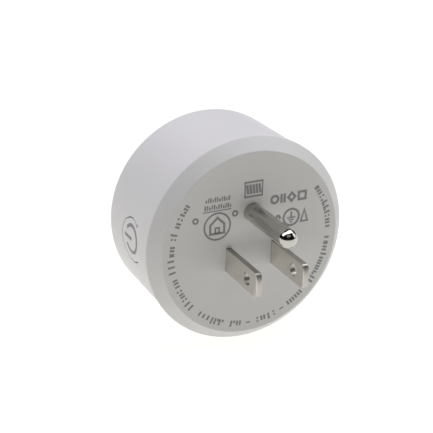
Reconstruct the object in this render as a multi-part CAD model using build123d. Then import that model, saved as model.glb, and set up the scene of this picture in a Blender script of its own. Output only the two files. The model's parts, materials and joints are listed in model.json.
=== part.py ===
from build123d import *
from math import cos, radians, sin
import os

# Round plug-in power meter: it plugs into a wall socket, the appliance plugs into its
# front, and it switches and measures the power between them. Sizes are in millimetres.
# Frame: Y is the axis of the round case and +Y points into the wall. The flat rear face
# lies on y = 0. +Z is up, with the ground pin above the blades. The button is on +X.

# Case, from the rear face to the front edge
CASE_DEPTH = 29.8
REAR_RADIUS = 26.95
FRONT_RADIUS = 26.7
FRONT_EDGE_RADIUS = 2.0
REAR_EDGE_CHAMFER = 0.25
WALL = 1.7
FRONT_WALL = 1.8

# Rear cover
COVER_FACE_RADIUS = 24.33
COVER_RIM_RADIUS = 27.3
COVER_BEVEL_DEPTH = 3.05
COVER_FACE_EDGE = 0.35
COVER_RIM_EDGE = 0.3
COVER_RIM_CHAMFER = 0.15
COVER_PLATE = 1.8
PARTING_Y = -3.5
SKIRT_RADIUS = 25.2
SKIRT_WALL = 1.3
SKIRT_END_Y = -6.2
SNAP_ANGLES = (45, 135, 225, 315)
SNAP_WIDTH = 5.0
SNAP_HEIGHT = 0.5
SNAP_DEPTH = 0.9
SNAP_Y = -5.25
SNAP_ROOM = 0.2

# Blade pattern, the usual grounded 15 A one, shared by the plug and the outlet
BLADE_X = 6.35
BLADE_Z = -3.33
GROUND_Z = BLADE_Z + 11.89
BLADE_THICKNESS = 1.5
BLADE_WIDTH = 6.35
BLADE_LENGTH = 16.7
BLADE_HOLE_RADIUS = 1.65
BLADE_HOLE_Y = 11.3
BLADE_BEVEL = 0.45
BLADE_TIP_THICKNESS = 1.1
BLADE_END_RADIUS = 7.0
BLADE_CORNER_RADIUS = 1.0
BLADE_EDGE = 0.12
PIN_RADIUS = 2.38
PIN_LENGTH = 20.1
PIN_FIT = 0.03
PIN_COLLAR_RADIUS = 2.8
PIN_COLLAR_END_Y = -0.1

# What the cover and the retainer clamp between them
FLANGE_THICKNESS = 1.2
BLADE_FLANGE_HALF_X = 1.6
BLADE_FLANGE_HALF_Z = 4.2
BLADE_TAB_HALF_X = 0.5
BLADE_TAB_HALF_Z = 1.6
SOLDER_TAIL = 0.6
PIN_FLANGE_RADIUS = 3.4
STUD_RADIUS = 1.2
STUD_HEAD_RADIUS = 1.8
STUD_HEAD_HEIGHT = 0.5
RETAINER_THICKNESS = 2.0
RETAINER_HALF_X = 9.2
RETAINER_EDGE = 1.0
RETAINER_Z = (-8.2, 12.8)
RETAINER_EAR_HALF_X = 17.0
RETAINER_EAR_HALF_Z = 2.6
RETAINER_SCREW_X = 14.0
RETAINER_SCREW_LENGTH = 3.6
STRAP_THICKNESS = 0.6
STRAP_EDGE = 1.0
STRAP_HALF_X = 2.4
STRAP_Z = (GROUND_Z - 2.6, 14.6)

# Outlet insert in the front of the case
OPENING_RADIUS = 17.7
OPENING_CHAMFER = 0.5
INSERT_RADIUS = 17.6
INSERT_EDGE = 0.4
INSERT_RECESS = 0.5
INSERT_PLATE = 2.5
INSERT_FLANGE_RADIUS = 19.4
INSERT_SEAT_GAP = 0.02
SLOT_WIDTH = 2.2
LIVE_SLOT_HEIGHT = 7.2
NEUTRAL_SLOT_HEIGHT = 8.6
GROUND_HOLE_RADIUS = 2.95
GROUND_HOLE_FLAT = 2.3
SLOT_LEAD_IN = 0.45

# Contacts and their carrier
CONTACT_FRONT_Y = -26.0
CONTACT_REAR_Y = -10.4
LEAF_THICKNESS = 0.6
LEAF_GAP = 1.3
LEAF_WIDTH = 6.0
LEAF_FLARE = 0.55
LEAF_FLARE_LENGTH = 2.0
CONTACT_BASE_HALF_Z = 1.5
TAIL_X = 9.6
TAIL_HALF_X = 0.3
TAIL_HALF_Z = 1.2
GROUND_TUBE_RADIUS = 2.85
GROUND_TUBE_BORE = 2.3
GROUND_TUBE_REAR_Y = -14.0
GROUND_TUBE_SLIT = 0.5
GROUND_BRIDGE_LENGTH = 1.0
GROUND_TAIL_Z = (12.45, 12.95)
GROUND_TAIL_HALF_X = 1.2
CARRIER_FRONT_Y = -26.7
CARRIER_REAR_Y = -9.7
CARRIER_HALF_X = 11.2
CARRIER_Z = (-9.2, 3.0)
CARRIER_TOWER_HALF_X = 5.4
CARRIER_TOWER_Z = (2.0, 13.8)
CARRIER_EDGE = 0.8
POCKET_HALF_X = 1.9
POCKET_HALF_Z = 4.4
GROUND_POCKET_RADIUS = 3.2
EAR_HALF_X = 15.4
EAR_Z = (0.4, 5.4)
EAR_FRONT_Y = -22.0
EAR_REAR_Y = -20.4
CARRIER_SCREW_X = 13.2
CARRIER_SCREW_Z = 3.0
CARRIER_SCREW_LENGTH = 5.6
CARRIER_BOSS_RADIUS = 1.9

# Screws, all of one size
SCREW_RADIUS = 1.1
SCREW_POINT = 0.5
SCREW_HEAD_RADIUS = 1.9
SCREW_HEAD_HEIGHT = 1.2
SCREW_HEAD_EDGE = 0.5
SCREW_CROSS_HALF_LENGTH = 1.0
SCREW_CROSS_HALF_WIDTH = 0.2
SCREW_CROSS_DEPTH = 0.6
SCREW_HOLE_ROOM = 0.1
BOSS_RADIUS = 2.4
BOSS_ROOM = 0.2
BOSS_WEB_HALF = 0.6
BOSS_WEB_END_Y = -12.0

# Main board
BOARD_RADIUS = 23.4
BOARD_REAR_Y = -6.5
BOARD_THICKNESS = 1.6
BOARD_SCREW_RADIUS = 20.5
BOARD_SCREW_ANGLES = (60, 180, 300)
BOARD_SCREW_LENGTH = 7.0
BOARD_HOLE_ROOM = 0.1
STRAP_WINDOW_HALF_X = 2.2
STRAP_WINDOW_Z = (11.6, 13.8)

# Control board, which stands on the main board behind the button, and its radio
CONTROL_X = 16.6
CONTROL_THICKNESS = 1.0
CONTROL_HALF_WIDTH = 10.5
CONTROL_FRONT_Y = -25.6
CONTROL_TABS_Z = (-7.0, 7.0)
CONTROL_TAB_HALF_Z = 1.5
RADIO_THICKNESS = 0.8
RADIO_Y = (-25.2, -9.4)
RADIO_HALF_Z = 7.8
RADIO_PADS = 7
RADIO_PAD_PITCH = 2.0
RADIO_PAD_RADIUS = 0.4
SHIELD_HEIGHT = 2.2
SHIELD_Y = (-18.8, -10.2)
SHIELD_HALF_Z = 6.4
SHIELD_SHEET = 0.2
SHIELD_EDGE = 0.5

# Power parts on the front of the main board
RELAY_X = (-12.0, 6.6)
RELAY_Z = (-21.0, -11.0)
RELAY_TOP_Y = -23.4
RELAY_STANDOFF = 0.3
RELAY_EDGE = 0.6
RELAY_PINS = ((-10.5, -19.0), (-10.5, -13.0), (-3.0, -16.0), (5.0, -19.0), (5.0, -13.0))
RELAY_PIN_RADIUS = 0.45
CAPACITOR_X = -15.9
CAPACITOR_HALF_PITCH = 5.0
CAPACITOR_RADIUS = 3.9
CAPACITOR_HEIGHT = 10.6
CAPACITOR_ROLL = 0.3
CAPACITOR_GROOVE = (1.4, 2.3)
CAPACITOR_TOP_RADIUS = 3.0
INDUCTOR_PLACE = (-12.6, 14.6)
INDUCTOR_RADIUS = 3.5
INDUCTOR_WAIST_RADIUS = 2.9
INDUCTOR_HEIGHT = 8.8
INDUCTOR_FLANGE = 1.2
INDUCTOR_SLOPE = 0.3
VARISTOR_PLACE = (-3.2, 18.2)
VARISTOR_RADIUS = 4.4
VARISTOR_THICKNESS = 3.6
VARISTOR_EDGE = 1.2
VARISTOR_STANDOFF = 1.0
VARISTOR_LEG_X = 2.4
VARISTOR_LEG_Z = 0.6
LEAD_RADIUS = 0.35
RESISTOR_PLACE = (4.4, 18.4)
RESISTOR_LENGTH = 9.0
RESISTOR_STANDOFF = 1.0
RESISTOR_CAP_RADIUS = 1.7
RESISTOR_WAIST_RADIUS = 1.5
RESISTOR_CAP_LENGTH = 1.8
RESISTOR_SLOPE = 0.5
SHUNT_X = (-9.0, -2.6)
SHUNT_Z = (-14.6, -11.4)
SHUNT_THICKNESS = 0.5

# Chips: x range, z range, height, legs on each side
METER_CHIP = ((8.4, 13.4), (-14.0, -10.9), 1.6, 4)
RECTIFIER_CHIP = ((9.4, 13.6), (9.4, 12.8), 2.4, 2)
CHIP_STANDOFF = 0.15
CHIP_EDGE = 0.25
CHIP_LEG_HALF_WIDTH = 0.2
CHIP_LEG_REACH = 0.8
CHIP_LEG_ROOT = 0.3
CHIP_LEG_HEIGHT = 0.45

# Button: a tab of the side wall inside a C-shaped slot, bending at its rear edge
BUTTON_Y = -14.0
BUTTON_SLOT_RADIUS = 5.8
BUTTON_SLOT_WIDTH = 0.28
BUTTON_SLOT_ANGLE = 58
BUTTON_SLOT_END_RADIUS = 0.4
BUTTON_THICKNESS = 1.2
BUTTON_HINGE_THICKNESS = 0.6
BUTTON_HINGE_LENGTH = 1.2
BUTTON_HINGE_GAP = 0.02
NUB_Y = -16.2
NUB_RADIUS = 1.4
NUB_EDGE = 0.4
NUB_ROOT = 0.4

# Tact switch behind the button
SWITCH_HALF = 3.0
SWITCH_HEIGHT = 3.4
SWITCH_CORNER = 0.4
SWITCH_LEG_Y = 2.0
SWITCH_LEG_HALF = 0.4
SWITCH_LEG_REACH = 1.05
PLUNGER_TIP_X = 23.0
PLUNGER_GAP = 0.08
PLUNGER_RADIUS = 1.7
PLUNGER_BORE = 1.8
PLUNGER_BORE_HEIGHT = 1.4
PLUNGER_ROOT_HEIGHT = 2.0
PLUNGER_EDGE = 0.3

# Indicator lamp and its light pipe
LED_HEIGHT = 3.2
LED_Y = (-24.6, -23.2)
LED_HALF_Z = 1.4
PIPE_X = 19.6
PIPE_Z = 6.6
PIPE_RADIUS = 1.1
PIPE_FIT = 0.05
PIPE_REAR_Y = -25.0
PIPE_COLLAR = 0.7
PIPE_COLLAR_LENGTH = 1.0
PIPE_EDGE = 0.3

FRONT_Y = -CASE_DEPTH
FRONT_INSIDE_Y = FRONT_Y + FRONT_WALL
INSERT_FRONT_Y = FRONT_Y + INSERT_RECESS
INSERT_REAR_Y = INSERT_FRONT_Y + INSERT_PLATE
FLANGE_Y = -COVER_PLATE
RETAINER_REAR_Y = FLANGE_Y - FLANGE_THICKNESS
RETAINER_FRONT_Y = RETAINER_REAR_Y - RETAINER_THICKNESS
BOARD_FRONT_Y = BOARD_REAR_Y - BOARD_THICKNESS
CONTROL_OUTER_X = CONTROL_X + CONTROL_THICKNESS
HINGE_Y = BUTTON_Y + BUTTON_SLOT_RADIUS * cos(radians(BUTTON_SLOT_ANGLE))
SLOT_END_Z = BUTTON_SLOT_RADIUS * sin(radians(BUTTON_SLOT_ANGLE))
BOARD_SCREW_PLACES = [
    (BOARD_SCREW_RADIUS * cos(radians(angle)), BOARD_SCREW_RADIUS * sin(radians(angle)))
    for angle in BOARD_SCREW_ANGLES
]
SIDES = (-1, 1)
FAR = 40.0
OVERRUN = 1.0
MERGE = 0.2


def block(x_range, y_range, z_range):
    """A box between two planes on each axis."""
    (x0, x1), (y0, y1), (z0, z1) = sorted(x_range), sorted(y_range), sorted(z_range)
    return Pos((x0 + x1) / 2, (y0 + y1) / 2, (z0 + z1) / 2) * Box(x1 - x0, y1 - y0, z1 - z0)


def about(centre, half):
    """The range that reaches the same way to both sides of a centre."""
    return centre - half, centre + half


def rod(x, z, y0, y1, radius):
    """A round bar along Y."""
    return Pos(x, (y0 + y1) / 2, z) * Rot(90, 0, 0) * Cylinder(radius, abs(y1 - y0))


def rod_x(y, z, x0, x1, radius):
    """A round bar along X."""
    return Pos((x0 + x1) / 2, y, z) * Rot(0, 90, 0) * Cylinder(radius, abs(x1 - x0))


def turned(*points):
    """A solid turned about the Y axis from an outline of (radius, y) points."""
    return revolve(make_face(Polyline(*points, close=True)), Axis.Y)


def prism_z(points, z0, height):
    """A plate along Z from an outline of (x, y) points."""
    return extrude(Pos(0, 0, z0) * make_face(Polyline(*points, close=True)), height, dir=(0, 0, 1))


def around(angle):
    """A turn about the case's axis, from +X towards +Z."""
    return Rot(0, -angle, 0)


def joined(solids):
    """One solid made of several that touch."""
    whole = solids[0]
    for solid in solids[1:]:
        whole += solid
    return whole


def wall_radius(y):
    """The outside radius of the side wall, which tapers a little towards the front."""
    share = (y - PARTING_Y) / (FRONT_Y - PARTING_Y)
    return REAR_RADIUS + (FRONT_RADIUS - REAR_RADIUS) * share


def wall_ring(outer_inset, inner_inset, y0, y1):
    """A ring of the side wall between two depths below its outer surface."""
    return turned(
        (wall_radius(y0) - inner_inset, y0),
        (wall_radius(y0) - outer_inset, y0),
        (wall_radius(y1) - outer_inset, y1),
        (wall_radius(y1) - inner_inset, y1),
    )


def button_outline(radius, cut_y):
    """A bar along +X with the button's outline: a disc cut off straight at its rear."""
    disc = rod_x(BUTTON_Y, 0, REAR_RADIUS / 2, FAR, radius)
    return disc & block((0, FAR), (-FAR, cut_y), (-FAR, FAR))


def slot_ends():
    """The round holes that end the button's slot, as bars along +X."""
    return joined([
        rod_x(HINGE_Y, side * SLOT_END_Z, REAR_RADIUS / 2, FAR, BUTTON_SLOT_END_RADIUS)
        for side in SIDES
    ])


def screw(x, z, head_y, length):
    """A pan-head screw whose shank runs towards the front from its head's underside."""
    top = head_y + SCREW_HEAD_HEIGHT
    head = rod(x, z, head_y, top, SCREW_HEAD_RADIUS)
    head = fillet(head.edges().group_by(Axis.Y)[-1], SCREW_HEAD_EDGE)
    shank = rod(x, z, head_y - length, head_y, SCREW_RADIUS)
    shank = chamfer(shank.edges().group_by(Axis.Y)[0], SCREW_POINT)
    depth = (top - SCREW_CROSS_DEPTH, FAR)
    long_x, long_z = about(x, SCREW_CROSS_HALF_LENGTH), about(z, SCREW_CROSS_HALF_LENGTH)
    short_x, short_z = about(x, SCREW_CROSS_HALF_WIDTH), about(z, SCREW_CROSS_HALF_WIDTH)
    return head + shank - block(long_x, depth, short_z) - block(short_x, depth, long_z)


def body_shell():
    """The round case: side wall, front wall with the outlet's opening, bosses and slot."""
    shell = turned(
        (0, PARTING_Y),
        (REAR_RADIUS - REAR_EDGE_CHAMFER, PARTING_Y),
        (REAR_RADIUS, PARTING_Y - REAR_EDGE_CHAMFER),
        (FRONT_RADIUS, FRONT_Y),
        (0, FRONT_Y),
    )
    front_edge = shell.edges().filter_by(GeomType.CIRCLE).group_by(Axis.Y)[0]
    shell = fillet(front_edge, FRONT_EDGE_RADIUS)
    shell -= turned(
        (0, 0),
        (REAR_RADIUS - WALL, 0),
        (REAR_RADIUS - WALL, SKIRT_END_Y),
        (FRONT_RADIUS - WALL, FRONT_INSIDE_Y),
        (0, FRONT_INSIDE_Y),
    )
    shell -= rod(0, 0, FRONT_Y - OVERRUN, FRONT_INSIDE_Y + OVERRUN, OPENING_RADIUS)
    shell -= turned(
        (0, FRONT_Y + OPENING_CHAMFER),
        (OPENING_RADIUS, FRONT_Y + OPENING_CHAMFER),
        (OPENING_RADIUS + OPENING_CHAMFER, FRONT_Y),
        (0, FRONT_Y),
    )
    web_x = (BOARD_SCREW_RADIUS, REAR_RADIUS - WALL + MERGE)
    web = block(web_x, (FRONT_INSIDE_Y, BOSS_WEB_END_Y), about(0, BOSS_WEB_HALF))
    for angle, (x, z) in zip(BOARD_SCREW_ANGLES, BOARD_SCREW_PLACES):
        shell += rod(x, z, FRONT_INSIDE_Y - MERGE, BOARD_FRONT_Y, BOSS_RADIUS)
        shell += around(angle) * web
        shell -= rod(x, z, BOARD_REAR_Y - BOARD_SCREW_LENGTH, 0, SCREW_RADIUS)
    pocket_x = (REAR_RADIUS - WALL - OVERRUN, SKIRT_RADIUS + SNAP_HEIGHT + SNAP_ROOM)
    pocket_y = about(SNAP_Y, SNAP_DEPTH / 2 + SNAP_ROOM)
    pocket = block(pocket_x, pocket_y, about(0, SNAP_WIDTH / 2 + SNAP_ROOM))
    for angle in SNAP_ANGLES:
        shell -= around(angle) * pocket
    shell -= button_outline(BUTTON_SLOT_RADIUS + BUTTON_SLOT_WIDTH / 2, HINGE_Y)
    shell -= slot_ends()
    shell -= rod(PIPE_X, PIPE_Z, FRONT_Y - OVERRUN, FRONT_INSIDE_Y + OVERRUN, PIPE_RADIUS + PIPE_FIT)
    return shell


def rear_cover():
    """The cover that seats on the wall plate, with its bevelled rim, skirt and snaps."""
    skirt_bore = SKIRT_RADIUS - SKIRT_WALL
    cover = turned(
        (0, 0),
        (COVER_FACE_RADIUS, 0),
        (COVER_RIM_RADIUS, -COVER_BEVEL_DEPTH),
        (COVER_RIM_RADIUS, PARTING_Y + COVER_RIM_CHAMFER),
        (COVER_RIM_RADIUS - COVER_RIM_CHAMFER, PARTING_Y),
        (SKIRT_RADIUS, PARTING_Y),
        (SKIRT_RADIUS, SKIRT_END_Y),
        (skirt_bore, SKIRT_END_Y),
        (skirt_bore, FLANGE_Y),
        (0, FLANGE_Y),
    )
    cover = fillet(cover.edges().filter_by(GeomType.CIRCLE).group_by(Axis.Y)[-1], COVER_FACE_EDGE)
    rim = cover.edges().filter_by(GeomType.CIRCLE).filter_by_position(
        Axis.Y, -COVER_BEVEL_DEPTH - COVER_RIM_CHAMFER, -COVER_BEVEL_DEPTH + COVER_RIM_CHAMFER
    )
    cover = fillet(rim, COVER_RIM_EDGE)
    snap_x = (SKIRT_RADIUS - MERGE, SKIRT_RADIUS + SNAP_HEIGHT)
    snap = block(snap_x, about(SNAP_Y, SNAP_DEPTH / 2), about(0, SNAP_WIDTH / 2))
    for angle in SNAP_ANGLES:
        cover += around(angle) * snap
    for side in SIDES:
        x = side * RETAINER_SCREW_X
        cover += rod(x, 0, FLANGE_Y + MERGE, RETAINER_REAR_Y, BOSS_RADIUS)
        cover -= rod(x, 0, RETAINER_FRONT_Y + RETAINER_SCREW_LENGTH, -FAR, SCREW_RADIUS)
        opening_x = about(side * BLADE_X, BLADE_THICKNESS / 2 + PIN_FIT)
        cover -= block(opening_x, (-FAR, FAR), about(BLADE_Z, BLADE_WIDTH / 2 + PIN_FIT))
    cover -= rod(0, GROUND_Z, -FAR, FAR, PIN_RADIUS + PIN_FIT)
    cover -= rod(0, GROUND_Z, -FAR, PIN_COLLAR_END_Y, PIN_COLLAR_RADIUS + PIN_FIT)
    return cover


def blade(side):
    """A plug blade: crowned and bevelled tip, hole, a flange inside the cover and a solder tab."""
    x = side * BLADE_X
    half, tip_half = BLADE_THICKNESS / 2, BLADE_TIP_THICKNESS / 2
    low, high = about(BLADE_Z, BLADE_WIDTH / 2)
    shoulder = BLADE_LENGTH - BLADE_BEVEL
    plan = [
        (x - half, FLANGE_Y),
        (x + half, FLANGE_Y),
        (x + half, shoulder),
        (x + tip_half, BLADE_LENGTH),
        (x - tip_half, BLADE_LENGTH),
        (x - half, shoulder),
    ]
    crown_y = BLADE_LENGTH - BLADE_END_RADIUS
    crown = block(about(x, BLADE_THICKNESS), (crown_y, BLADE_LENGTH), (low, high))
    crown &= rod_x(crown_y, BLADE_Z, x - BLADE_THICKNESS, x + BLADE_THICKNESS, BLADE_END_RADIUS)
    side_view = block(about(x, BLADE_THICKNESS), (FLANGE_Y, crown_y), (low, high)) + crown
    tip_corners = side_view.edges().filter_by(Axis.X).group_by(Axis.Y)[-1]
    side_view = fillet(tip_corners, BLADE_CORNER_RADIUS)
    plate = prism_z(plan, low, BLADE_WIDTH)
    plate &= side_view
    plate = fillet(plate.edges(), BLADE_EDGE)
    plate -= rod_x(BLADE_HOLE_Y, BLADE_Z, x - BLADE_THICKNESS, x + BLADE_THICKNESS, BLADE_HOLE_RADIUS)
    flange_x = about(x, BLADE_FLANGE_HALF_X)
    flange = block(flange_x, (RETAINER_REAR_Y, FLANGE_Y), about(BLADE_Z, BLADE_FLANGE_HALF_Z))
    tab_y = (BOARD_FRONT_Y - SOLDER_TAIL, RETAINER_REAR_Y)
    tab = block(about(x, BLADE_TAB_HALF_X), tab_y, about(BLADE_Z, BLADE_TAB_HALF_Z))
    root_z = (low + BLADE_EDGE, high - BLADE_EDGE)
    root = block(about(x, half - BLADE_EDGE), (FLANGE_Y - MERGE, 0), root_z)
    return plate + root + flange + tab


def ground_pin():
    """The round ground pin with a domed tip, a collar, a flange and a riveted stud."""
    dome_y = PIN_LENGTH - PIN_RADIUS
    stud_end = RETAINER_FRONT_Y - STRAP_THICKNESS
    return joined([
        rod(0, GROUND_Z, FLANGE_Y, dome_y, PIN_RADIUS),
        Pos(0, dome_y, GROUND_Z) * Sphere(PIN_RADIUS),
        rod(0, GROUND_Z, FLANGE_Y, PIN_COLLAR_END_Y, PIN_COLLAR_RADIUS),
        rod(0, GROUND_Z, RETAINER_REAR_Y, FLANGE_Y, PIN_FLANGE_RADIUS),
        rod(0, GROUND_Z, stud_end, FLANGE_Y, STUD_RADIUS),
        rod(0, GROUND_Z, stud_end - STUD_HEAD_HEIGHT, stud_end, STUD_HEAD_RADIUS),
    ])


def blade_retainer():
    """The moulded bridge that holds the blades and the pin down into the cover."""
    depth = (RETAINER_FRONT_Y, RETAINER_REAR_Y)
    bridge = block(about(0, RETAINER_HALF_X), depth, RETAINER_Z)
    bridge += block(about(0, RETAINER_EAR_HALF_X), depth, about(0, RETAINER_EAR_HALF_Z))
    bridge = fillet(bridge.edges().filter_by(Axis.Y), RETAINER_EDGE)
    for side in SIDES:
        tab_x = about(side * BLADE_X, BLADE_TAB_HALF_X + BOARD_HOLE_ROOM)
        tab_z = about(BLADE_Z, BLADE_TAB_HALF_Z + BOARD_HOLE_ROOM)
        bridge -= block(tab_x, (-FAR, FAR), tab_z)
        bridge -= rod(side * RETAINER_SCREW_X, 0, -FAR, FAR, SCREW_RADIUS + SCREW_HOLE_ROOM)
    return bridge - rod(0, GROUND_Z, -FAR, FAR, STUD_RADIUS + BOARD_HOLE_ROOM)


def ground_strap():
    """The strip that joins the ground pin to the ground contact's tail."""
    depth = (RETAINER_FRONT_Y - STRAP_THICKNESS, RETAINER_FRONT_Y)
    strap = block(about(0, STRAP_HALF_X), depth, STRAP_Z)
    strap = fillet(strap.edges().filter_by(Axis.Y), STRAP_EDGE)
    strap -= rod(0, GROUND_Z, -FAR, 0, STUD_RADIUS)
    window_z = (GROUND_TAIL_Z[0] - PIN_FIT, GROUND_TAIL_Z[1] + PIN_FIT)
    return strap - block(about(0, GROUND_TAIL_HALF_X + PIN_FIT), (-FAR, 0), window_z)


def blade_slot(side, height):
    """A blade slot of the outlet, with a sloping lead-in at its mouth."""
    x = side * BLADE_X
    turn = Rot(90, 0, 0)
    throat = block(about(x, SLOT_WIDTH / 2), (-FAR, 0), about(BLADE_Z, height / 2))
    mouth = Rectangle(SLOT_WIDTH + 2 * SLOT_LEAD_IN, height + 2 * SLOT_LEAD_IN)
    mouth = Pos(x, INSERT_FRONT_Y, BLADE_Z) * turn * mouth
    end = Pos(x, INSERT_FRONT_Y + SLOT_LEAD_IN, BLADE_Z) * turn * Rectangle(SLOT_WIDTH, height)
    return throat + loft([mouth.face(), end.face()])


def ground_hole():
    """The outlet's ground hole, round with a flat on top, with the same lead-in."""
    hole = rod(0, GROUND_Z, -FAR, 0, GROUND_HOLE_RADIUS)
    lead_in = turned(
        (0, INSERT_FRONT_Y + SLOT_LEAD_IN),
        (GROUND_HOLE_RADIUS, INSERT_FRONT_Y + SLOT_LEAD_IN),
        (GROUND_HOLE_RADIUS + SLOT_LEAD_IN, INSERT_FRONT_Y),
        (0, INSERT_FRONT_Y),
    )
    hole += Pos(0, 0, GROUND_Z) * lead_in
    return hole & block((-FAR, FAR), (-FAR, 0), (-FAR, GROUND_Z + GROUND_HOLE_FLAT))


def outlet_insert():
    """The outlet's face: two slots and a ground hole, held behind the case's front wall."""
    face = rod(0, 0, INSERT_FRONT_Y, INSERT_REAR_Y, INSERT_RADIUS)
    face = fillet(face.edges().filter_by(GeomType.CIRCLE).group_by(Axis.Y)[0], INSERT_EDGE)
    face += rod(0, 0, FRONT_INSIDE_Y + INSERT_SEAT_GAP, INSERT_REAR_Y, INSERT_FLANGE_RADIUS)
    face -= blade_slot(-1, LIVE_SLOT_HEIGHT)
    face -= blade_slot(1, NEUTRAL_SLOT_HEIGHT)
    face -= ground_hole()
    for side in SIDES:
        x = side * CARRIER_SCREW_X
        face += rod(x, CARRIER_SCREW_Z, INSERT_REAR_Y - MERGE, EAR_FRONT_Y, CARRIER_BOSS_RADIUS)
        hole_end = EAR_REAR_Y - CARRIER_SCREW_LENGTH - SCREW_POINT
        face -= rod(x, CARRIER_SCREW_Z, hole_end, EAR_REAR_Y, SCREW_RADIUS)
    for x, z in BOARD_SCREW_PLACES:
        face -= rod(x, z, FRONT_INSIDE_Y, 0, BOSS_RADIUS + BOSS_ROOM)
    return face


def contact_carrier():
    """The moulded block behind the outlet's face that houses the three contacts."""
    depth = (CARRIER_FRONT_Y, CARRIER_REAR_Y)
    carrier = block(about(0, CARRIER_HALF_X), depth, CARRIER_Z)
    carrier += block(about(0, CARRIER_TOWER_HALF_X), depth, CARRIER_TOWER_Z)
    carrier = fillet(carrier.edges().filter_by(Axis.Y), CARRIER_EDGE)
    ears = block(about(0, EAR_HALF_X), (EAR_FRONT_Y, EAR_REAR_Y), EAR_Z)
    carrier += fillet(ears.edges().filter_by(Axis.Y), CARRIER_EDGE)
    for side in SIDES:
        x = side * BLADE_X
        carrier -= block(about(x, POCKET_HALF_X), (-FAR, 0), about(BLADE_Z, POCKET_HALF_Z))
        base_x = (x, side * (TAIL_X + TAIL_HALF_X + MERGE))
        base_z = about(BLADE_Z, CONTACT_BASE_HALF_Z + MERGE)
        carrier -= block(base_x, (CONTACT_REAR_Y - MERGE, 0), base_z)
        screw_x = side * CARRIER_SCREW_X
        carrier -= rod(screw_x, CARRIER_SCREW_Z, -FAR, 0, SCREW_RADIUS + SCREW_HOLE_ROOM)
    carrier -= rod(0, GROUND_Z, -FAR, 0, GROUND_POCKET_RADIUS)
    bridge_y = (GROUND_TUBE_REAR_Y - GROUND_BRIDGE_LENGTH - MERGE, 0)
    bridge_z = (GROUND_Z, GROUND_TAIL_Z[1] + MERGE)
    return carrier - block(about(0, GROUND_TAIL_HALF_X + MERGE), bridge_y, bridge_z)


def blade_contact(side):
    """A spring clip for one blade: two leaves with flared mouths, a base and a tail."""
    x = side * BLADE_X
    near = LEAF_GAP / 2
    far = near + LEAF_THICKNESS
    flare_y = CONTACT_FRONT_Y + LEAF_FLARE_LENGTH
    pieces = []
    for leaf in SIDES:
        outline = [
            (x + leaf * near, CONTACT_REAR_Y),
            (x + leaf * near, flare_y),
            (x + leaf * (near + LEAF_FLARE), CONTACT_FRONT_Y),
            (x + leaf * (far + LEAF_FLARE), CONTACT_FRONT_Y),
            (x + leaf * far, flare_y),
            (x + leaf * far, CONTACT_REAR_Y),
        ]
        pieces.append(prism_z(outline, BLADE_Z - LEAF_WIDTH / 2, LEAF_WIDTH))
    base_x = (x - side * far, side * (TAIL_X + TAIL_HALF_X))
    base_y = (CONTACT_REAR_Y, CONTACT_REAR_Y + LEAF_THICKNESS)
    pieces.append(block(base_x, base_y, about(BLADE_Z, CONTACT_BASE_HALF_Z)))
    tail_y = (CONTACT_REAR_Y, BOARD_REAR_Y + SOLDER_TAIL)
    pieces.append(block(about(side * TAIL_X, TAIL_HALF_X), tail_y, about(BLADE_Z, TAIL_HALF_Z)))
    return joined(pieces)


def ground_contact():
    """A slit spring tube for the ground pin, with a tail to the ground strap."""
    tube = rod(0, GROUND_Z, CONTACT_FRONT_Y, GROUND_TUBE_REAR_Y, GROUND_TUBE_RADIUS)
    tube -= rod(0, GROUND_Z, -FAR, 0, GROUND_TUBE_BORE)
    tube -= block(about(0, GROUND_TUBE_SLIT), (-FAR, 0), (GROUND_Z - GROUND_POCKET_RADIUS, GROUND_Z))
    tail_x = about(0, GROUND_TAIL_HALF_X)
    bridge_y = (GROUND_TUBE_REAR_Y - GROUND_BRIDGE_LENGTH, GROUND_TUBE_REAR_Y)
    bridge_z = (GROUND_Z + GROUND_TUBE_RADIUS - MERGE, GROUND_TAIL_Z[1])
    tail_y = (bridge_y[0], RETAINER_FRONT_Y - PIN_FIT)
    return tube + block(tail_x, bridge_y, bridge_z) + block(tail_x, tail_y, GROUND_TAIL_Z)


def main_board():
    """The round power board that carries the relay, the supply and the meter."""
    through = (-FAR, 0)
    board = rod(0, 0, BOARD_FRONT_Y, BOARD_REAR_Y, BOARD_RADIUS)
    for x, z in BOARD_SCREW_PLACES:
        board -= rod(x, z, -FAR, 0, SCREW_RADIUS + SCREW_HOLE_ROOM)
    for side in SIDES:
        tab_x = about(side * BLADE_X, BLADE_TAB_HALF_X + BOARD_HOLE_ROOM)
        board -= block(tab_x, through, about(BLADE_Z, BLADE_TAB_HALF_Z + BOARD_HOLE_ROOM))
        tail_x = about(side * TAIL_X, TAIL_HALF_X + BOARD_HOLE_ROOM)
        board -= block(tail_x, through, about(BLADE_Z, TAIL_HALF_Z + BOARD_HOLE_ROOM))
    board -= block(about(0, STRAP_WINDOW_HALF_X), through, STRAP_WINDOW_Z)
    slot_x = (CONTROL_X - BOARD_HOLE_ROOM, CONTROL_OUTER_X + BOARD_HOLE_ROOM)
    for z in CONTROL_TABS_Z:
        board -= block(slot_x, through, about(z, CONTROL_TAB_HALF_Z + BOARD_HOLE_ROOM))
    return board


def control_board():
    """The upright low-voltage board, with two tabs that plug into the main board."""
    thickness = (CONTROL_X, CONTROL_OUTER_X)
    board = block(thickness, (CONTROL_FRONT_Y, BOARD_FRONT_Y), about(0, CONTROL_HALF_WIDTH))
    for z in CONTROL_TABS_Z:
        tab_y = (BOARD_FRONT_Y, BOARD_REAR_Y + SOLDER_TAIL)
        board += block(thickness, tab_y, about(z, CONTROL_TAB_HALF_Z))
    return board


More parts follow.
